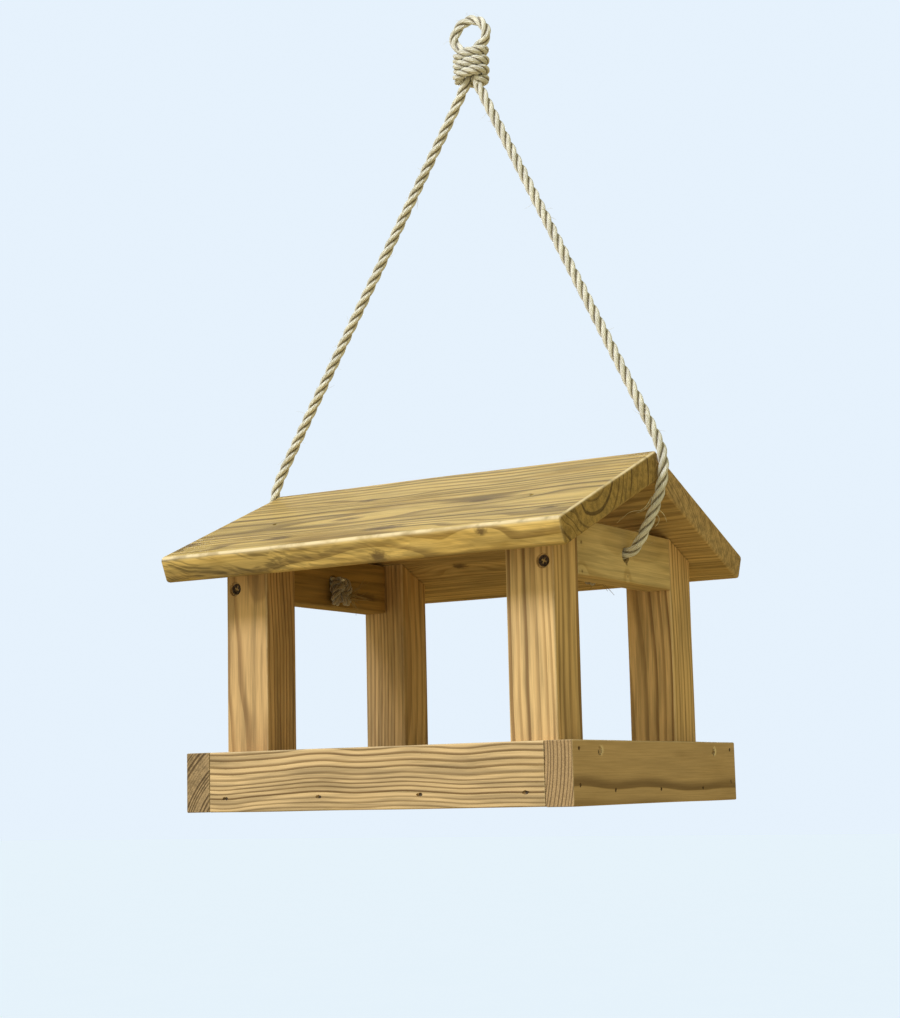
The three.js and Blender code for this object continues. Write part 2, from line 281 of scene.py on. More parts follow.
def wood(name, grain, pith, spacing=3.5, pale=PALE, dark=DARK, warp=3.0, wave=9.0, tilt=0.0,
         contrast=1.0, line=0.45, knots=(), torn=(), stain=0.35, banding=1.0,
         slant_face=None, first_ring=0.0, faintest=0.44):
    """Solid timber, cut from rings round a pith, so faces, edges and end grain all agree.

    grain is the axis the fibres run along, pith a point on the tree's middle line and spacing
    the width of a ring, in millimetres; line is the share of it that is dark, contrast how
    dark. warp is how far the rings wander, wave how often along the grain, tilt how much the
    board runs out of true with the tree. knots are (place, radius, stretch) triples; torn has
    the place and radius of spots where a nail has bared fresh wood. stain is how strongly
    treatment and weather have marked the wood, banding how streaky it is. slant_face is the
    direction of a face where the fibres run out at a slant. first_ring, a share of a ring,
    moves the rings past the board's faces; faintest is how dark a ring's line has to be to
    show on the end grain.
    """
    n = Surface(name)
    place = n.place()
    facing = n.node("ShaderNodeTexCoord").outputs["Normal"]
    local = measured_from_pith(n, place, grain, pith, tilt)
    along = n.math("ABSOLUTE", n.vector("DOT_PRODUCT", facing, GRAIN_VECTORS[grain]))
    end_grain = n.step(along, 0.55, 0.9)

    # The rings wander slowly along the grain, and a little more quickly on top of that.
    wandered = n.wander(local, local, warp * 4 * MM, wave, 1.0)
    shortened = n.vector("MULTIPLY", local, (1, 1, 0.3))
    wandered = n.wander(wandered, shortened, warp * 0.7 * MM, wave * 4.5, 2.0)
    radius = n.vector("LENGTH", n.vector("MULTIPLY", wandered, (1, 1, 0)))
    radius, knot_share = part_round_knots(n, place, grain, knots, radius)
    late = late_wood(n, radius, spacing, line, first_ring)
    crisp = n.step(late, faintest, faintest + 0.36, 0.0, 0.8)
    late = n.math("MULTIPLY_ADD", n.math("SUBTRACT", crisp, late), end_grain, late)
    deep = tuple(c * 0.6 for c in dark)
    colour = n.mix(n.math("MULTIPLY", late, contrast), pale, n.mix(end_grain, dark, deep))

    # Stains, and fibres: broad bands and fine streaks along the grain, pores on the end grain.
    blotches = n.noise(shortened, 34, 4.0, 0.6)
    damp = tuple(c * f for c, f in zip(pale, (0.62, 0.55, 0.36)))
    colour = n.mix(n.step(blotches, 0.48, 0.74, 0.0, stain), colour, damp)
    bands = n.noise(n.vector("MULTIPLY", wandered, (1, 1, 0.05)), 210, 3.0, 0.62)
    lightest, darkest = 1 + 0.15 * banding, 1 - 0.28 * banding
    colour = n.scale(colour, n.step(bands, 0.36, 0.68, lightest, darkest))
    streaks = n.noise(n.vector("MULTIPLY", local, (1, 1, 0.018)), 1500, 3.0, 0.6)
    colour = n.scale(colour, n.step(streaks, 0.3, 0.75, 1.06, 0.86))
    if slant_face is not None:
        colour = slanted_streaks(n, place, facing, slant_face, colour)
    pores = n.noise(place, 2200, 2.0, 0.7)
    end_colour = n.mix(1.0, colour, (1.0, 0.96, 0.96), "MULTIPLY")
    colour = n.mix(end_grain, colour, n.scale(end_colour, n.step(pores, 0.35, 0.7, 1.04, 0.72)))

    # Knots, spots torn by nails, and arrises paled by wear, with a painted highlight on those that
    # face up.
    if knot_share is not None:
        colour = n.mix(n.math("MULTIPLY", knot_share, 0.8), colour, HEART)
    for spot, size in torn:
        size *= MM
        reach = n.vector("DISTANCE", place, tuple(at(*spot)))
        reach = n.math("MULTIPLY_ADD", n.noise(place, 900, 2.0), size, reach)
        colour = n.mix(n.step(reach, size, size * 1.6, 0.85, 0.0), colour, FRESH)
    rubbed_and_highlit = n.step(n.noise(place, 60, 3.0, 0.6), 0.36, 0.56, 0.45, 1.0)
    colour = n.mix(n.math("MULTIPLY", n.attribute("wear_and_highlight"), rubbed_and_highlit), colour, FRESH)

    relief = n.math("MULTIPLY", late, 0.45)
    relief = n.math("MULTIPLY_ADD", streaks, 0.5, relief)
    relief = n.math("MULTIPLY_ADD", bands, 0.5, relief)
    rough_end = n.math("MULTIPLY", n.math("MULTIPLY", pores, end_grain), 1.2)
    normal = n.bump(n.math("ADD", relief, rough_end), 0.3 * MM)
    roughness = n.step(streaks, 0.3, 0.7, 0.60, 0.76)
    roughness = n.math("MULTIPLY_ADD", end_grain, 0.12, roughness)
    return n.finish(colour, roughness, {"Normal": normal, "Specular IOR Level": 0.3})


# ---------- Meshes ----------


def paint(piece, material):
    piece.data.materials.clear()
    piece.data.materials.append(material)


def new_piece(name, mesh, material):
    piece = bpy.data.objects.new(name, mesh)
    bpy.context.scene.collection.objects.link(piece)
    paint(piece, material)
    return piece


def mesh_from(build, name):
    """Turns a bmesh into a mesh, with all its faces outwards."""
    bmesh.ops.recalc_face_normals(build, faces=build.faces)
    mesh = bpy.data.meshes.new(name)
    build.to_mesh(mesh)
    build.free()
    return mesh


def note_vertices(mesh, name, values):
    """Gives each vertex a number, for a material to read."""
    mesh.attributes.new(name, "FLOAT", "POINT").data.foreach_set("value", values)


def apply_modifiers(piece):
    bpy.context.view_layer.update()
    graph = bpy.context.evaluated_depsgraph_get()
    finished = bpy.data.meshes.new_from_object(piece.evaluated_get(graph))
    piece.modifiers.clear()
    piece.data = finished


def cut(piece, cutter_meshes):
    """Cuts closed meshes out of a piece."""
    if not cutter_meshes:
        return
    joined = bmesh.new()
    for mesh in cutter_meshes:
        joined.from_mesh(mesh)
    tool = bpy.data.objects.new("cutter", mesh_from(joined, "cutter"))
    bpy.context.scene.collection.objects.link(tool)
    boolean = piece.modifiers.new("cut", "BOOLEAN")
    boolean.operation = "DIFFERENCE"
    boolean.solver = "EXACT"
    boolean.use_self = True
    boolean.object = tool
    apply_modifiers(piece)
    bpy.data.objects.remove(tool)


def drive(build, origin, direction):
    """Carries a bmesh made along +Z to where something goes into the wood."""
    turn = Vector(direction).to_track_quat("Z", "Y").to_matrix().to_4x4()
    bmesh.ops.transform(build, matrix=Matrix.Translation(origin) @ turn, verts=build.verts)


def revolve(profile, sides, origin, direction, squash=(1, 1)):
    """A closed mesh turned from (radius, depth) pairs, in millimetres, driven from origin."""
    build = bmesh.new()
    rings = []
    for radius, depth in profile:
        ring = []
        for i in range(sides if radius else 1):
            angle = 2 * math.pi * i / sides
            across = radius * MM * math.cos(angle) * squash[0]
            up = radius * MM * math.sin(angle) * squash[1]
            ring.append(build.verts.new((across, up, depth * MM)))
        rings.append(ring)
    for a, b in zip(rings, rings[1:]):
        for i in range(sides):
            j = (i + 1) % sides
            corners = [a[i % len(a)], a[j % len(a)], b[j % len(b)], b[i % len(b)]]
            build.faces.new(list(dict.fromkeys(corners)))
    drive(build, origin, direction)
    return mesh_from(build, "turned")


def smooth_shading(mesh, angle=32):
    for polygon in mesh.polygons:
        polygon.use_smooth = True
    mesh.set_sharp_from_angle(angle=math.radians(angle))


# ---------- Timber ----------

noise.seed_set(1)          # so that every run bows the timbers alike

AXES = {"X": 0, "Y": 1, "Z": 2}
LARGEST_ROUND = 4.0        # edges are rounded by shares of this radius
ROUND_STEPS = 4
SECTION = 12               # a timber bows from section to section, each about this long
BOW_WAVES = 14             # how often its bow changes, per metre


def prism(outline, low_end, high_end, run):
    """A closed bmesh: an outline in the plane across an axis, run along it between two ends."""
    build = bmesh.new()
    rings = []
    for end in (low_end, high_end):
        ring = []
        for a, b in outline:
            point = [a, b]
            point.insert(AXES[run], end)
            ring.append(build.verts.new(at(*point)))
        rings.append(ring)
    count = len(outline)
    for i in range(count):
        j = (i + 1) % count
        build.faces.new([rings[0][i], rings[0][j], rings[1][j], rings[1][i]])
    build.faces.new(rings[0])
    build.faces.new(rings[1][::-1])
    bmesh.ops.recalc_face_normals(build, faces=build.faces)
    return build


def round_edges(build, radius_of):
    """Rounds every edge by its own radius, which radius_of gives from the edge's two ends."""
    weights = build.edges.layers.float.new("bevel_weight_edge")
    for edge in build.edges:
        a, b = ((v.co - DATUM) / MM for v in edge.verts)
        edge[weights] = radius_of(a, b) / LARGEST_ROUND


def mark_wear_and_highlight(mesh, flats, wear_and_highlight_of):
    """Notes each vertex's wear and painted highlight, from its normal, on a rounded arris; none on a
    flat.
    """
    build = bmesh.new()
    build.from_mesh(mesh)
    wear_and_highlight = []
    for vertex in build.verts:
        on_flat = any(face.normal.dot(flat) > 0.999 for face in vertex.link_faces for flat in flats)
        wear_and_highlight.append(0.0 if on_flat else wear_and_highlight_of(vertex.normal))
    build.free()
    note_vertices(mesh, "wear_and_highlight", wear_and_highlight)


# Wear on the arrises, with a painted highlight: stronger on those that face up or sideways than on
# those that face down.
def faint_wear_and_highlight(normal):
    return 0.28 if normal.z > -0.2 else 0.1


def make_timber(name, build, radius_of, run, material, cutters, bow, seed,
                wear_and_highlight_of=faint_wear_and_highlight):
    """Turns a prism into a timber: rounded arrises, a slight natural bow, and drilled holes."""
    round_edges(build, radius_of)
    flats = [face.normal.copy() for face in build.faces]
    piece = new_piece(name, mesh_from(build, name), material)
    bevel = piece.modifiers.new("rounds", "BEVEL")
    bevel.limit_method = "WEIGHT"
    bevel.width = LARGEST_ROUND * MM
    bevel.segments = ROUND_STEPS
    apply_modifiers(piece)
    mark_wear_and_highlight(piece.data, flats, wear_and_highlight_of)
    bow_along(piece, run, bow, seed)
    cut(piece, cutters)
    smooth_shading(piece.data)
    weighted = piece.modifiers.new("normals", "WEIGHTED_NORMAL")
    weighted.keep_sharp = True
    apply_modifiers(piece)
    paint(piece, material)
    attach(piece, "feeder")
    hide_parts(name)


def bow_along(piece, run, bow, seed):
    """Cuts a timber into short lengths and moves them slightly, as sawn wood is never true."""
    axis = AXES[run]
    build = bmesh.new()
    build.from_mesh(piece.data)
    values = [v.co[axis] for v in build.verts]
    start, end = min(values), max(values)
    lengths = max(4, round((end - start) / (SECTION * MM)))
    normal = Vector((0, 0, 0))
    normal[axis] = 1
    for i in range(1, lengths):
        spot = normal * (start + (end - start) * i / lengths)
        everything = build.verts[:] + build.edges[:] + build.faces[:]
        bmesh.ops.bisect_plane(build, geom=everything, plane_co=spot, plane_no=normal)
    for vertex in build.verts:
        where = vertex.co * BOW_WAVES + Vector((seed * 7.3, seed * 3.1, seed))
        shift = noise.noise_vector(where) * bow * MM
        shift[axis] = 0
        vertex.co += shift
    build.to_mesh(piece.data)
    build.free()


# ---------- Fasteners ----------


def metal_nodes(prefix):
    return sorted(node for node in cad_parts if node.startswith(prefix))


def driven_way(node):
    """The point where a fastener enters the wood and the direction it is driven in."""
    low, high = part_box(node)
    middle = (low + high) / 2
    size = high - low
    axis = max(range(3), key=lambda i: size[i])
    outward = Vector((0, 0, 0))
    if node.startswith("roof_pin"):
        outward.z = 1
    else:
        outward[axis] = 1 if middle[axis] > DATUM[axis] else -1
    head = middle + outward * size[axis] / 2
    return head, -outward


def hole_cutter(node, radius, depth, ragged=0.0, sides=16, squash=(1, 1)):
    """A hole over a fastener's head, with a ragged rim where the wood's fibres tore."""
    head, way = driven_way(node)
    above = -6
    profile = [(0, above), (radius * 1.02, above), (radius, depth), (0, depth)]
    mesh = revolve(profile, sides, head, way, squash)
    random.seed(node)
    for vertex in mesh.vertices:
        from_axis = vertex.co - head
        from_axis -= way * from_axis.dot(way)
        if from_axis.length > 1e-6:
            vertex.co += from_axis * random.uniform(-ragged, ragged)
    return mesh


def cutters_for(names, radius, depth, ragged=0.0, squash=(1, 1)):
    return [hole_cutter(name, radius, depth, ragged, squash=squash) for name in names]


def rusty_steel(name, colour, rust):
    n = Surface(name)
    patches = n.step(n.noise(n.place(), 900, 4.0, 0.6), 0.42, 0.62)
    pits = n.bump(n.noise(n.place(), 4000, 2.0), 0.06 * MM)
    roughness = n.step(patches, 0.0, 1.0, 0.48, 0.75)
    return n.finish(n.mix(patches, colour, rust), roughness, {"Normal": pits, "Metallic": 0.75})


screw_steel = rusty_steel("screw_steel", (0.10, 0.07, 0.055), (0.04, 0.022, 0.013))
nail_steel = rusty_steel("nail_steel", (0.16, 0.13, 0.11), (0.06, 0.03, 0.018))

# A screw from its head's middle to its point, as (radius, depth).
SCREW_PROFILE = [(0, 0.25), (2.9, 0.1), (3.35, 0), (3.5, 0.15), (3.5, 0.45), (1.75, 2.6),
                 (1.75, 42), (0, 48.5)]
# The cross recess's two slots, at the head's face and at their foot, as (length, width, depth).
SLOT_TOP = (4.7, 1.15, -0.3)
SLOT_FOOT = (2.0, 0.75, 3.4)
CROSS_TURN = 0.5


def screw(node):
    """A countersunk cross-head screw: a dished head, a tapered cross recess and a shank."""
    head, way = driven_way(node)
    piece = new_piece("head_of_" + node, revolve(SCREW_PROFILE, 32, head, way), screw_steel)
    recess = []
    for angle in (CROSS_TURN, CROSS_TURN + math.pi / 2):
        build = bmesh.new()
        bmesh.ops.create_cube(build, size=1)
        for vertex in build.verts:
            length, width, depth = SLOT_FOOT if vertex.co.z > 0 else SLOT_TOP
            vertex.co.x *= length * MM
            vertex.co.y *= width * MM
            vertex.co.z = depth * MM
        bmesh.ops.rotate(build, matrix=Matrix.Rotation(angle, 3, "Z"), verts=build.verts)
        drive(build, head, way)
        recess.append(mesh_from(build, "slot"))
    cut(piece, recess)
    smooth_shading(piece.data, 30)
    paint(piece, screw_steel)
    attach(piece, "feeder")
    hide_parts(node)


for node in metal_nodes("cross_rail_screw"):
    screw(node)
for prefix in ("post_nail", "corner_pin", "floor_pin", "roof_pin"):
    for node in metal_nodes(prefix):
        paint(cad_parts[node], nail_steel)

# ---------- Rope ----------

ROPE_DIAMETER = 7.0
LAY_LENGTH = 29.0          # one full turn of a strand
STRANDS = 3
STRAND_OFFSET = 0.535      # a strand's distance from the rope's line, as a share of its radius
STRAND_RADIUS = 0.475      # the same for its thickness
KNOT_ROPE_RADIUS = 2.9     # pulled thinner in the stopper knots


def between(a, b, start, end, time):
    """Where something is that goes evenly from a at its start time to b at its end time."""
    return a * ((end - time) / (end - start)) + b * ((time - start) / (end - start))


def smooth_route(points, spacing=1.0):
    """Even points along a centripetal Catmull-Rom curve through given ones."""
    points = [Vector(p) for p in points]
    first = points[0] * 2 - points[1]
    last = points[-1] * 2 - points[-2]
    padded = [first, *points, last]
    dense = []
    for p0, p1, p2, p3 in zip(padded, padded[1:], padded[2:], padded[3:]):
        t0 = 0.0
        t1 = t0 + max(1e-6, (p1 - p0).length) ** 0.5
        t2 = t1 + max(1e-6, (p2 - p1).length) ** 0.5
        t3 = t2 + max(1e-6, (p3 - p2).length) ** 0.5
        steps = max(6, int((p2 - p1).length / 0.4))
        for i in range(steps):
            t = t1 + (t2 - t1) * i / steps
            a1 = between(p0, p1, t0, t1, t)
            a2 = between(p1, p2, t1, t2, t)
            a3 = between(p2, p3, t2, t3, t)
            b1 = between(a1, a2, t0, t2, t)
            b2 = between(a2, a3, t1, t3, t)
            dense.append(between(b1, b2, t1, t2, t))
    dense.append(points[-1])
    return even_points(dense, spacing)


def even_points(line, spacing):
    """The same line, with points a fixed distance apart."""
    lengths = [0.0]
    for a, b in zip(line, line[1:]):
        lengths.append(lengths[-1] + (b - a).length)
    total = lengths[-1]
    count = max(2, round(total / spacing))
    result = []
    j = 0
    for i in range(count + 1):
        wanted = total * i / count
        while j < len(lengths) - 2 and lengths[j + 1] < wanted:
            j += 1
        span = lengths[j + 1] - lengths[j]
        share = 0.0 if span == 0 else (wanted - lengths[j]) / span
        result.append(line[j].lerp(line[j + 1], min(1, max(0, share))))
    return result


def moving_frames(line):
    """Two directions across the line at each of its points, turning as little as they can."""
    frames = []
    normal = Vector((0, 1, 0))
    for i in range(len(line)):
        ahead = line[min(i + 1, len(line) - 1)]
        behind = line[max(i - 1, 0)]
        tangent = (ahead - behind).normalized()
        normal = (normal - tangent * normal.dot(tangent)).normalized()
        frames.append((normal.copy(), tangent.cross(normal)))
    return frames


def spoke(across, up, angle):
    """A direction across a line, at an angle round it."""
    return across * math.cos(angle) + up * math.sin(angle)


def add_tube(build, line, radius, sides, thinning=0.0, uv_layer=None, repeat=1.0):
    """Adds a closed tube along a line, thinner at its far end by the given share."""
    rings = []
    for i, (point, (across, up)) in enumerate(zip(line, moving_frames(line))):
        reach = radius * (1 - thinning * i / (len(line) - 1))
        ring = []
        for k in range(sides):
            offset = spoke(across, up, 2 * math.pi * k / sides) * reach
            ring.append(build.verts.new(at(*(point + offset))))
        rings.append(ring)
    for i, (a, b) in enumerate(zip(rings, rings[1:])):
        for k in range(sides):
            j = (k + 1) % sides
            face = build.faces.new([a[k], a[j], b[j], b[k]])
            face.smooth = True
            if uv_layer is not None:
                turns = (k, k + 1, k + 1, k)
                rows = (i, i, i + 1, i + 1)
                for loop, turn, row in zip(face.loops, turns, rows):
                    loop[uv_layer].uv = (turn / sides, row * repeat)
    build.faces.new(rings[0][::-1])
    build.faces.new(rings[-1])


def strand_lines(line, rope_radius, lay):
    """The middle lines of the rope's three strands, which wind round the rope's own line."""
    frames = moving_frames(line)
    step = (line[1] - line[0]).length
    off_centre = rope_radius * STRAND_OFFSET
    strands = []
    for strand in range(STRANDS):
        points = []
        for i, (point, (across, up)) in enumerate(zip(line, frames)):
            angle = 2 * math.pi * (i * step / lay + strand / STRANDS)
            points.append(point + spoke(across, up, angle) * off_centre)
        strands.append(points)
    return strands


def rope_mesh(name, line, radius=ROPE_DIAMETER / 2, lay=LAY_LENGTH, sides=12):
    """A three-strand rope along a line of even points."""
    build = bmesh.new()
    uv_layer = build.loops.layers.uv.new("along_strand")
    step = (line[1] - line[0]).length
    for strand in strand_lines(line, radius, lay):
        add_tube(build, strand, radius * STRAND_RADIUS, sides, 0.0, uv_layer, step / 10)
    mesh = mesh_from(build, name)
    # Every ring of a strand's vertices lies round one point of the rope's line.
    crown = []
    for i, vertex in enumerate(mesh.vertices):
        middle = at(*line[(i // sides) % len(line)])
        crown.append((vertex.co - middle).length / (radius * MM))
    note_vertices(mesh, "crown", crown)
    return mesh


def natural_rope(name, pale, shade):
    """Natural fibre: yarns that spiral round each strand, fine fibres, and painted shade in the
    grooves between yarns and the hollows between strands.
    """
    n = Surface(name)
    uv = n.node("ShaderNodeUVMap", uv_map="along_strand").outputs[0]
    place = n.place()
    around, along, _ = n.parts(uv)
    yarns = 7
    spiral = n.math("ADD", n.math("MULTIPLY", around, yarns), n.math("MULTIPLY", along, 2.2))
    spiral = n.math("ADD", spiral, n.math("MULTIPLY", n.noise(place, 260, 2.0), 0.6))
    ridge = n.math("SINE", n.math("MULTIPLY", spiral, 2 * math.pi))
    ridge = n.math("MULTIPLY_ADD", ridge, 0.5, 0.5)
    stretched = n.node("ShaderNodeCombineXYZ")
    n.put(n.math("MULTIPLY", spiral, 5.0), stretched.inputs[0])
    n.put(n.math("MULTIPLY", along, 1.6), stretched.inputs[1])
    hairs = n.noise(stretched.outputs[0], 3.0, 3.0, 0.65)
    crown = n.attribute("crown")
    # Painted shade: the grooves between yarns and the hollows between the strands, near the rope's
    # line, take the shade colour; only the strands' crowns are pale.
    lit = n.math("MULTIPLY", n.step(ridge, 0.0, 0.7, 0.74, 1.0), n.step(crown, 0.64, 0.90))
    colour = n.mix(lit, shade, pale)
    straw = tuple(c * f for c, f in zip(pale, (0.94, 0.86, 0.64)))
    colour = n.mix(n.step(hairs, 0.45, 0.75, 0.0, 0.4), colour, straw)
    colour = n.scale(colour, n.step(n.noise(place, 120, 2.0), 0.35, 0.65, 0.88, 1.12))
    strand_tint = n.noise(n.vector("MULTIPLY", uv, (3.0, 0.35, 0)), 1.7, 2.0, 0.6)
    colour = n.mix(n.step(strand_tint, 0.54, 0.72, 0.0, 0.25), colour, shade)
    height = n.math("ADD", n.math("MULTIPLY", ridge, 0.6), n.math("MULTIPLY", hairs, 0.8))
    return n.finish(colour, 0.42, {"Normal": n.bump(height, 0.5 * MM), "Sheen Weight": 1.0,
                                   "Specular IOR Level": 1.0})


def plain_fibre(name, colour):
    n = Surface(name)
    tone = n.noise(n.place(), 350, 2.0)
    dull = tuple(c * 0.7 for c in colour)
    return n.finish(n.mix(n.step(tone, 0.4, 0.6), colour, dull), 0.7,
                    {"Normal": n.bump(tone, 0.05 * MM)})


rope_fibre = natural_rope("rope_fibre", (1.0, 0.98, 0.83), (0.22, 0.16, 0.065))
loose_fibre = plain_fibre("loose_fibre", (0.80, 0.70, 0.46))
# Painted shade: darker copies of the rope's colours for the stopper knots and their frayed tails,
# which lie in the rails' shade.
shaded_knot_rope = natural_rope("shaded_knot_rope", (0.36, 0.26, 0.115), (0.12, 0.07, 0.024))
shaded_tail_fibre = plain_fibre("shaded_tail_fibre", (0.40, 0.29, 0.13))

# The rope's route at the right-hand end, in the plane of the ridge, as [x, z]. It starts at
# the stopper knot and goes out through the hole, round the end of the ridge and up. The left
# end mirrors it, and is carried outwards by the roof's shift as it rises.
ROPE_LINE = 156.6
ROOF_SHIFT = -2.0
SHIFT_RISE = 40            # the shift is complete this far above the hole
HOLE_TO_LEG = [
    (96.5, ROPE_LINE - 2.5), (100.5, ROPE_LINE - 0.4), (105.4, ROPE_LINE), (112, ROPE_LINE),
    (120.5, ROPE_LINE), (124.6, ROPE_LINE + 0.5), (128.2, 158.8), (131.2, 161.6),
    (133.8, 165.4), (137.6, 171.9), (141.6, 179.2), (145.2, 186.6), (148.3, 194.6),
    (150.5, 202.2), (151.4, 208.4), (151.5, 211.6), (151.1, 217.4), (149.3, 224.6),
    (146.2, 232),
]
LEG_TOP = {"left": [(8, 483.2), (13.4, 493.0), (13.9, 496.6)],
           "right": [(26.2, 483.2), (21.8, 493.0), (21.3, 496.6)]}
RIDGE_HEIGHT = 220.6
TILT_HEIGHT = 210.0


def rope_route(end):
    route = []
    for x, z in HOLE_TO_LEG:
        if end == "left":
            share = min(1, max(0, (z - ROPE_LINE) / SHIFT_RISE))
            x = -x + 2 * ROOF_SHIFT * share
        route.append((x, 0, z))
    return route + [(x, 0, z) for x, z in LEG_TOP[end]]


HAIR_THINNING = 0.7        # a loose fibre's tip is this much thinner than its root
HAIR_STEPS = 10


def hair(build, start, way, length, radius, curl, seed):
    """One stray fibre: a thin tapering tube that leaves the rope and curls."""
    random.seed(seed)
    point = Vector(start)
    heading = Vector(way).normalized()
    line = [point.copy()]
    bend = Vector([random.uniform(-1, 1) for _ in range(3)]) * curl
    for _ in range(HAIR_STEPS):
        heading = (heading + bend / HAIR_STEPS).normalized()
        point = point + heading * length / HAIR_STEPS
        line.append(point.copy())
    add_tube(build, line, radius, 5, HAIR_THINNING)


def rope_piece(name, mesh, material, body):
    piece = new_piece(name, mesh, material)
    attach(piece, body)
    return piece


def stray_fibres(name, line, count, seed, body, torn=()):
    """A rope's loose fibres, scattered along a stretch of its line, and its torn yarns."""
    build = bmesh.new()
    random.seed(seed)
    plan = []
    for _ in range(count):
        i = random.randrange(2, len(line) - 3)
        angle = random.uniform(0, 2 * math.pi)
        plan.append((i, angle, random.uniform(3, 9), random.uniform(0.07, 0.14), random.random()))
    frames = moving_frames(line)
    for i, angle, length, radius, luck in plan:
        across, up = frames[i]
        out = spoke(across, up, angle)
        tangent = (line[i + 1] - line[i - 1]).normalized()
        start = line[i] + out * (ROPE_DIAMETER / 2 - 0.5)
        lean = 1.2 if luck > 0.5 else -1.2
        hair(build, start, out + tangent * lean, length, radius, 2.5, seed * 1000 + i)
    for route, radius in torn:
        add_tube(build, smooth_route(route), radius, 6, HAIR_THINNING)
    return rope_piece(name, mesh_from(build, name), loose_fibre, body)


def trefoil_route(side):
    """A stopper knot's route: out of the hole, once through itself, and down to a free end."""
    ring, wander = 5.6, 2.8
    centre_height = ROPE_LINE - 8.6
    face = 104.0
    middle = face - wander - 3.2
    route = [Vector((side * (face + 4), 0, ROPE_LINE)), Vector((side * (face - 1.5), 0.4, ROPE_LINE))]
    steps = 34
    start = 0.10
    for i in range(steps + 1):
        t = start + (2 * math.pi - 2 * start) * i / steps
        reach = ring + wander * math.cos(3 * t)
        across = reach * math.sin(2 * t)
        up = reach * math.cos(2 * t)
        inward = wander * math.sin(3 * t)
        route.append(Vector((side * (middle - inward), across, centre_height + up)))
    return route


def make_knot(name, route, radius, lay, node, body, material):
    mesh = rope_mesh(name, smooth_route(route, 0.9), radius, lay, 10)
    piece = rope_piece(name, mesh, material, body)
    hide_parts(node)
    return piece


TAIL_LENGTH = 21.0
TAIL_YARNS = 30


def frayed_end(name, start, way, body, seed):
    """The rope's cut end, unlaid into a brush of yarns."""
    build = bmesh.new()
    random.seed(seed)
    heading = Vector(way).normalized()
    side = heading.cross(Vector((0.3, 0.9, 0.2))).normalized()
    other = heading.cross(side)
    for i in range(TAIL_YARNS):
        angle = i * 2.4
        spread = math.sqrt(i / TAIL_YARNS) * 2.8
        offset = spoke(side, other, angle) * spread
        way_out = heading + offset * 0.09
        reach = TAIL_LENGTH * random.uniform(0.65, 1.1)
        radius = random.uniform(0.25, 0.42)
        hair(build, Vector(start) + offset * 0.8, way_out, reach, radius, 1.0, seed * 31 + i)
    return rope_piece(name, mesh_from(build, name), shaded_tail_fibre, body)


BARREL_MIDDLE = Vector((17.6, 0, 500.5))
BARREL_TURNS = 3


def barrel_route():
    """The loop knot's route: turns round the two legs, its ends tucked in."""
    half_width, half_depth = 10.3, 6.9
    pitch = 6.9
    steps_per_turn = 14
    total = int(steps_per_turn * (BARREL_TURNS + 0.35))
    base = BARREL_MIDDLE.z - pitch * (BARREL_TURNS - 0.65) / 2
    route = []
    for i in range(total + 1):
        angle = 2 * math.pi * i / steps_per_turn - 0.5
        height = base + pitch * i / steps_per_turn
        reach = min(1.0, 0.5 + 0.25 * min(i, total - i))
        route.append(Vector((BARREL_MIDDLE.x + half_width * reach * math.cos(angle),
                             half_depth * reach * math.sin(angle), height)))
    return route


def loop_route():
    """The hanging loop, from inside the barrel and back into it."""
    radius = 13.0
    centre_height = 524.5
    foot = 511.6
    right = [(3.6, 502), (3.8, foot), (4.4, foot + 3.4), (7.6, foot + 6.4), (11.3, foot + 9.2)]
    route = [(-x, z) for x, z in right]
    for degrees in range(180, -1, -20):
        angle = math.radians(degrees)
        route.append((radius * math.cos(angle), centre_height + radius * math.sin(angle)))
    route += right[::-1]
    return [(x + BARREL_MIDDLE.x, 0, z) for x, z in route]


# Yarns that have torn loose where the rope rubs on the ridge: each one's route and thickness.
TORN_YARNS = [
    ([(144, -2.6, 191), (140.7, -6.2, 184.2), (138.4, -7.6, 182.4), (132.4, -11, 181.3),
      (124.8, -15, 174.7)], 0.34),
    ([(143, -2.6, 187), (139.5, -5.4, 182.6), (135, -8.2, 180.6)], 0.28),
    ([(143.4, 2.2, 184.5), (146.9, 4.6, 181.6), (148.2, 6.0, 179), (149.1, 6.8, 175.4)], 0.32),
    ([(142.5, 2.6, 182), (145.1, 4.0, 178), (144.6, 3.8, 175), (142.5, 3.1, 172.4)], 0.36),
]


def make_ropes():
    loop_knot = make_knot("loop_knot_turns", barrel_route(), 3.45, 18, "loop_knot", "rope_top",
                          rope_fibre)
    loop_line = smooth_route(loop_route())
    loop = rope_piece("hanging_loop_rope", rope_mesh("hanging_loop_rope", loop_line), rope_fibre,
                      "rope_top")
    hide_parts("hanging_loop")
    loop_fibres = stray_fibres("loop_fibres", loop_line, 16, 5, "rope_top")
    for end, side, seed, torn, knots in (("left", -1, 11, (), []),
                                         ("right", 1, 23, TORN_YARNS, [loop_knot])):
        line = smooth_route(rope_route(end))
        rope = new_piece("rope_" + end, rope_mesh("rope_" + end, line), rope_fibre)
        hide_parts("rope_tail_" + end, "rope_leg_" + end)
        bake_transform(rope)
        knot = make_knot("stopper_" + end, trefoil_route(side), KNOT_ROPE_RADIUS, 15,
                         "stopper_knot_" + end, "feeder", shaded_knot_rope)
        tail = frayed_end("stopper_tail_" + end, (side * 98, 5.5, ROPE_LINE - 10),
                          (side * -0.06, 1, -0.08), "feeder", seed)
        upper = [p for p in line if TILT_HEIGHT + 12 < p.z < 485]
        lower = [p for p in line if p.z < TILT_HEIGHT - 10 and abs(p.x) > 126]
        leg_fibres = stray_fibres("leg_fibres_" + end, upper, 34, seed, "sling")
        tail_fibres = stray_fibres("tail_fibres_" + end, lower, 14, seed + 1, "feeder", torn)


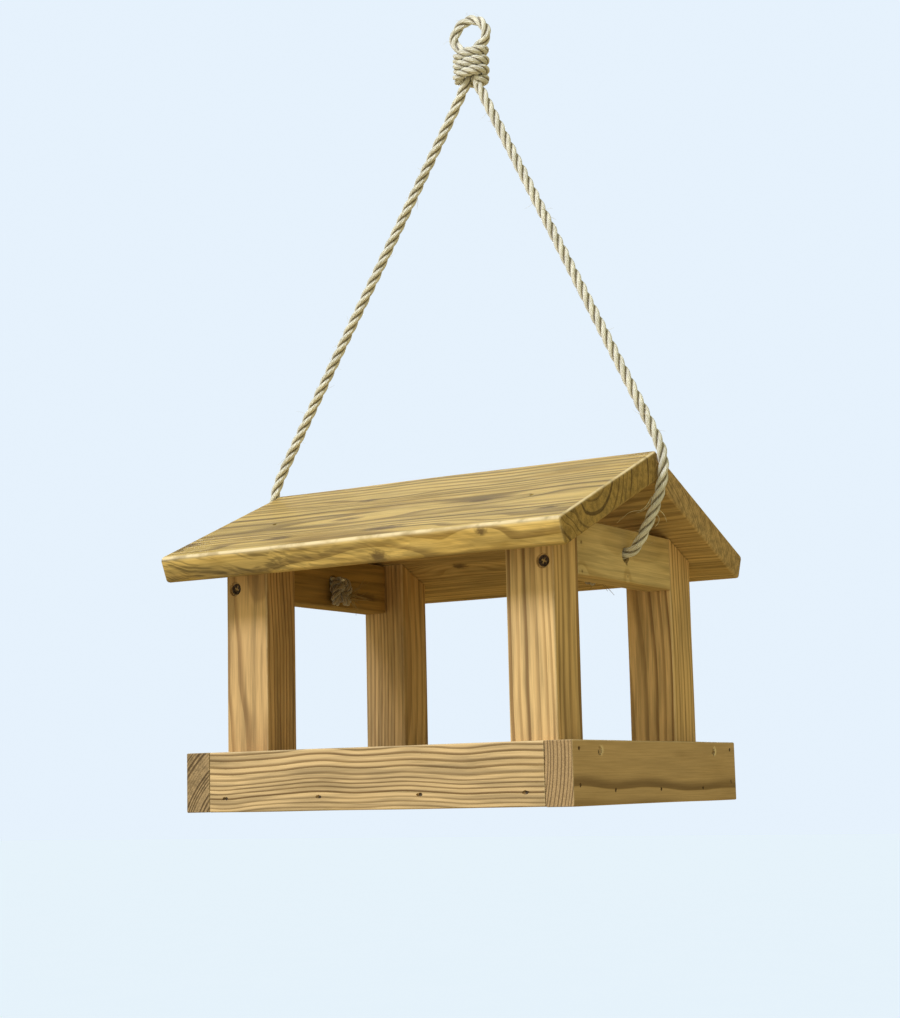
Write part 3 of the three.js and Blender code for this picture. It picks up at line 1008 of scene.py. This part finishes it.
make_ropes()

# ---------- The timbers ----------

ROOF_PITCH = math.radians(23.2)
ARRIS = 1.0                # planed timber's edge
POST_ARRIS = 1.1
SAWN = 0.5                 # a freshly sawn end's edge
ROOF_ARRIS = 3.6           # the roof's rounded eaves
GABLE_ARRIS = 2.0
RIDGE_ARRIS = 0.5
HALF_SPAN = 130.8          # from the ridge to the eaves' top edge
ROOF_THICKNESS = 17.9


def squared_timber(node, run, material, cutters, seed, bow=0.25):
    """A timber with its long edges rounded, and the edges of its sawn ends only broken."""
    low, high = box_mm(node)
    axis = AXES[run]
    a, b = [i for i in range(3) if i != axis]
    outline = [(low[a], low[b]), (high[a], low[b]), (high[a], high[b]), (low[a], high[b])]

    def radius_of(start, end):
        return ARRIS if abs(start[axis] - end[axis]) > 1 else SAWN

    build = prism(outline, low[axis], high[axis], run)
    make_timber(node, build, radius_of, run, material, cutters, bow, seed)


def roof_top_at(y):
    return RIDGE_HEIGHT - abs(y) * math.tan(ROOF_PITCH)


def make_tray():
    front = wood("front_rail_wood", "X", (0, -140, 124), 3.2, warp=2.5, wave=12, line=0.42,
                 pale=(0.68, 0.485, 0.247), dark=(0.18, 0.10, 0.034), stain=0.2)
    back = wood("back_rail_wood", "X", (40, 150, -60), 3.0, warp=2.4, wave=8)
    for face, material, seed in (("front", front, 1), ("back", back, 2)):
        holes = cutters_for(metal_nodes(f"floor_pin_{face}"), 1.5, 0.25, 0.2, (1.5, 0.75))
        squared_timber(f"tray_{face}_rail", "X", material, holes, seed)
    fresh = [((side * 141.5, y + 1.6, 32.0), 3.4) for side in (-1, 1) for y in (-80.6, 80.6)]
    left = wood("left_end_rail_wood", "Y", (-70, 0, -34), 2.2, warp=1.2, wave=10, line=0.68,
                pale=(0.45, 0.325, 0.165), dark=(0.13, 0.07, 0.025), torn=fresh[:2])
    right = wood("right_end_rail_wood", "Y", (1.5, -53, 30), 2.2, warp=0.4, wave=9, line=0.43,
                 pale=(0.56, 0.39, 0.195), dark=(0.13, 0.07, 0.023), stain=0.25,
                 banding=0.25, torn=fresh[2:], first_ring=0.17, contrast=0.8,
                 faintest=0.24)
    for end, material, seed in (("left", left, 3), ("right", right, 4)):
        nails = [node for node in metal_nodes("post_nail") if node.endswith(end)]
        pins = [node for node in metal_nodes("corner_pin") if end in node]
        pins += metal_nodes(f"floor_pin_{end}")
        holes = cutters_for(nails, 2.5, 0.3, 0.3) + cutters_for(pins, 1.25, 0.2, 0.25)
        squared_timber(f"tray_{end}_end_rail", "Y", material, holes, seed)
    floor = wood("tray_floor_wood", "X", (10, 20, 190), 7.0, warp=5.0, wave=5,
                 pale=(0.56, 0.40, 0.2), dark=(0.30, 0.18, 0.08), contrast=0.8)
    squared_timber("tray_floor", "X", floor, (), 5, bow=0.1)


def make_post(face, end, seed, pith, spacing, **grain):
    """A post, its head cut to the slope of the roof."""
    node = f"post_{face}_{end}"
    low, high = box_mm(node)
    inner, outer = (high.y, low.y) if face == "front" else (low.y, high.y)
    outer_top = high.z - abs(outer - inner) * math.tan(ROOF_PITCH)
    outline = [(outer, low.z), (inner, low.z), (inner, high.z), (outer, outer_top)]
    build = prism(outline, low.x, high.x, "X")

    def radius_of(a, b):
        return POST_ARRIS if abs(a.z - b.z) > 40 else SAWN

    countersink = hole_cutter(f"cross_rail_screw_{face}_{end}", 4.6, 0.9, 0.02, 28)
    material = wood(node + "_wood", "Z", pith, spacing, **grain)
    make_timber(node, build, radius_of, "Z", material, [countersink], 0.25, seed)


def make_posts():
    orange = dict(pale=(0.62, 0.405, 0.178), dark=(0.22, 0.105, 0.032))
    amber = dict(pale=(0.66, 0.445, 0.20), dark=(0.24, 0.125, 0.04))
    straw = dict(pale=(0.74, 0.505, 0.228), dark=(0.24, 0.125, 0.04))
    make_post("front", "left", 6, (-96, -28, 80), 3.3, warp=2.2, wave=11, tilt=0.02, line=0.35,
              contrast=0.8, **orange)
    make_post("front", "right", 7, (60, -46, 90), 3.6, warp=1.8, wave=6, line=0.46,
              contrast=0.82, **straw)
    make_post("back", "left", 8, (-150, 60, 90), 2.8, warp=1.8, wave=6, contrast=0.65, **amber)
    make_post("back", "right", 9, (84, 30, 90), 3.4, warp=2.0, wave=6, tilt=0.02, line=0.38,
              contrast=0.8, **straw)


ROPE_HOLE_RADIUS = 5.0
ROPE_HOLE_HEIGHT = 155.6


def make_cross_rails():
    outer_face = box_mm("cross_rail_right")[1].x
    # The left rail has one long dark mark, drawn as a knot. The right rail's are the marks of four
    # pins.
    dark_mark = [((-103, 37, 148.5), 3.6, 6.5)]
    pin_marks = [((122, -59.5, 158.5), 1.5, 1.0), ((122, -59.5, 140.5), 1.5, 1.0),
                 ((122, 2, 142.1), 1.2, 1.0), ((122, 1, 150.5), 1.8, 1.0)]
    # Painted shade: the left rail's darker brown stands for the shade deep under the roof, where it
    # sits.
    shaded_brown = dict(pale=(0.43, 0.27, 0.08), dark=(0.24, 0.14, 0.035))
    golden = dict(pale=(0.70, 0.53, 0.25), dark=(0.44, 0.29, 0.105))
    profile = [(0, -15), (ROPE_HOLE_RADIUS, -15), (ROPE_HOLE_RADIUS, 40), (0, 40)]
    for end, side, seed, pith, marks, tone in (
            ("left", -1, 10, (-150, 0, 190), dark_mark, shaded_brown),
            ("right", 1, 12, (60, 0, 168), pin_marks, golden)):
        material = wood(f"cross_rail_{end}_wood", "Y", pith, 5.4, warp=2.4, wave=8, contrast=0.6,
                        line=0.3, knots=marks, stain=0.3, banding=0.7, **tone)
        bore = revolve(profile, 32, at(side * outer_face, 0, ROPE_HOLE_HEIGHT), (-side, 0, 0))
        squared_timber(f"cross_rail_{end}", "Y", material, [bore], seed)


def roof_outline(inner, side):
    """A roof board's outline across the ridge, from its inner edge to the eave."""
    eave_top = Vector((side * HALF_SPAN, roof_top_at(HALF_SPAN)))
    square = Vector((-side * math.sin(ROOF_PITCH), -math.cos(ROOF_PITCH))) * ROOF_THICKNESS
    eave_bottom = eave_top + square
    ridge_bottom = roof_top_at(inner) - ROOF_THICKNESS / math.cos(ROOF_PITCH)
    return [(inner, roof_top_at(inner)), tuple(eave_top), tuple(eave_bottom), (inner, ridge_bottom)]


# The front roof board's knots and dark flecks: place, radius and how far each is drawn out.
FRONT_ROOF_KNOTS = [
    ((-44, -42, 202), 4.2, 2.6), ((-33, -84, 184.6), 4.0, 3.2), ((-68, -112, 172.7), 5.0, 3.0),
    ((15, -115.5, 171), 6.0, 3.0), ((96, -73.6, 189), 1.2, 1.3), ((18, -126, 152), 4.8, 1.6),
    ((93, -129, 161), 3.2, 1.4), ((-148, -106, 175), 5.0, 2.8), ((61, -76, 188), 3.8, 3.0),
    ((128, -109, 174), 3.8, 2.6), ((-95, -116, 160), 4.0, 1.5), ((-40, -116, 156), 4.5, 1.5),
    ((55, -114, 160), 4.0, 1.5), ((125, -116, 160), 3.5, 1.5),
]


# Wear on the roof's arrises, with a painted highlight: strong on those that face up and outwards, as
# the eaves' top edges do, faint elsewhere.
def eave_wear_and_highlight(normal):
    return 0.9 if 0.35 < normal.z < 0.95 and abs(normal.y) > 0.3 else 0.12


def roof_rounds(a, b):
    if abs(a.x - b.x) > 1:
        return ROOF_ARRIS if abs(a.y) > 100 and abs(b.y) > 100 else RIDGE_ARRIS
    return RIDGE_ARRIS if abs(a.y) < 1 and abs(b.y) < 1 else GABLE_ARRIS


def make_roof():
    olive = dict(pale=(0.49, 0.34, 0.106), dark=(0.17, 0.105, 0.03))
    front = wood("roof_front_wood", "X", (-60, -92, 208), 6.5, warp=3.4, wave=8, tilt=0.016,
                 line=0.38, stain=0.85, knots=FRONT_ROOF_KNOTS,
                 slant_face=(0, -0.92, -0.39), faintest=0.56, **olive)
    back = wood("roof_back_wood", "X", (40, -58, 101), 2.6, warp=3.0, wave=7, tilt=-0.01,
                pale=(0.60, 0.43, 0.19), contrast=0.6, knots=[((-47, 75, 169), 4.5, 1.6)],
                slant_face=(0, 0.92, -0.39))
    for face, side, material, seed in (("front", -1, front, 13), ("back", 1, back, 14)):
        node = "roof_board_" + face
        low, high = box_mm(node)
        outline = roof_outline(high.y if side < 0 else low.y, side)
        pins = [pin for pin in metal_nodes("roof_pin") if face in pin]
        make_timber(node, prism(outline, low.x, high.x, "X"), roof_rounds, "X", material,
                    cutters_for(pins, 1.5, 0.3, 0.2), 0.35, seed, eave_wear_and_highlight)


make_tray()
make_posts()
make_cross_rails()
make_roof()

# ---------- Stage and light ----------

FLOOR_BELOW = 900          # the floor lies this far under the hanging tray


def pale_floor():
    bpy.ops.mesh.primitive_plane_add(size=60, location=at(0, 0, -FLOOR_BELOW))
    floor = bpy.context.object
    floor.name = "floor"
    n = Surface("floor_paint")
    colour = n.mix(n.noise(n.place(), 3, 2.0), (0.17, 0.18, 0.24), (0.19, 0.20, 0.27))
    glow = {"Emission Color": (0.77, 0.89, 1.0, 1), "Emission Strength": 0.85}
    floor.data.materials.append(n.finish(colour, 0.9, glow))
    floor.visible_diffuse = False
    floor.visible_glossy = False


def area_light(name, place, aim, size, power, colour):
    data = bpy.data.lights.new(name, "AREA")
    data.shape = "DISK"
    data.size = size
    data.energy = power
    data.color = colour
    light = bpy.data.objects.new(name, data)
    light.location = at(*place)
    light.rotation_euler = (at(*aim) - at(*place)).to_track_quat("-Z", "Y").to_euler()
    bpy.context.scene.collection.objects.link(light)


# The light that falls on the feeder from above, from below and from straight ahead.
LIGHT_ABOVE = (0.48, 0.46, 0.28)
LIGHT_BELOW = (0.35, 0.245, 0.055)
LIGHT_AHEAD = (0.27, 0.30, 0.29)
KEY_COLOUR = (0.80, 0.82, 0.94)
KEY_POWER = 78
FILL_COLOUR = (0.95, 0.93, 0.86)
FILL_POWER = 42
BACKDROP = (0.79, 0.885, 0.98)


def soft_daylight():
    """A big soft key from the front left, and a room that is brighter above than below.

    The camera sees the room as one pale, plain backdrop.
    """
    world = bpy.data.worlds.new("room")
    bpy.context.scene.world = world
    world.use_nodes = True
    n = Nodes(world.node_tree)
    _, back, up = n.parts(n.node("ShaderNodeTexCoord").outputs["Generated"])
    light = n.mix(n.step(up, -0.5, 0.6), LIGHT_BELOW, LIGHT_ABOVE)
    light = n.mix(n.step(back, 0.5, -1.0), light, LIGHT_AHEAD, "ADD")
    to_camera = n.node("ShaderNodeLightPath").outputs["Is Camera Ray"]
    n.put(n.mix(to_camera, light, BACKDROP), n.tree.nodes["Background"].inputs[0])
    area_light("key", (-900, -2100, 2300), (0, 0, 120), 0.9, KEY_POWER, KEY_COLOUR)
    area_light("fill", (-1500, 2400, 1300), (0, 0, 120), 1.6, FILL_POWER, FILL_COLOUR)


pale_floor()
soft_daylight()
bpy.context.scene.view_settings.view_transform = "Standard"
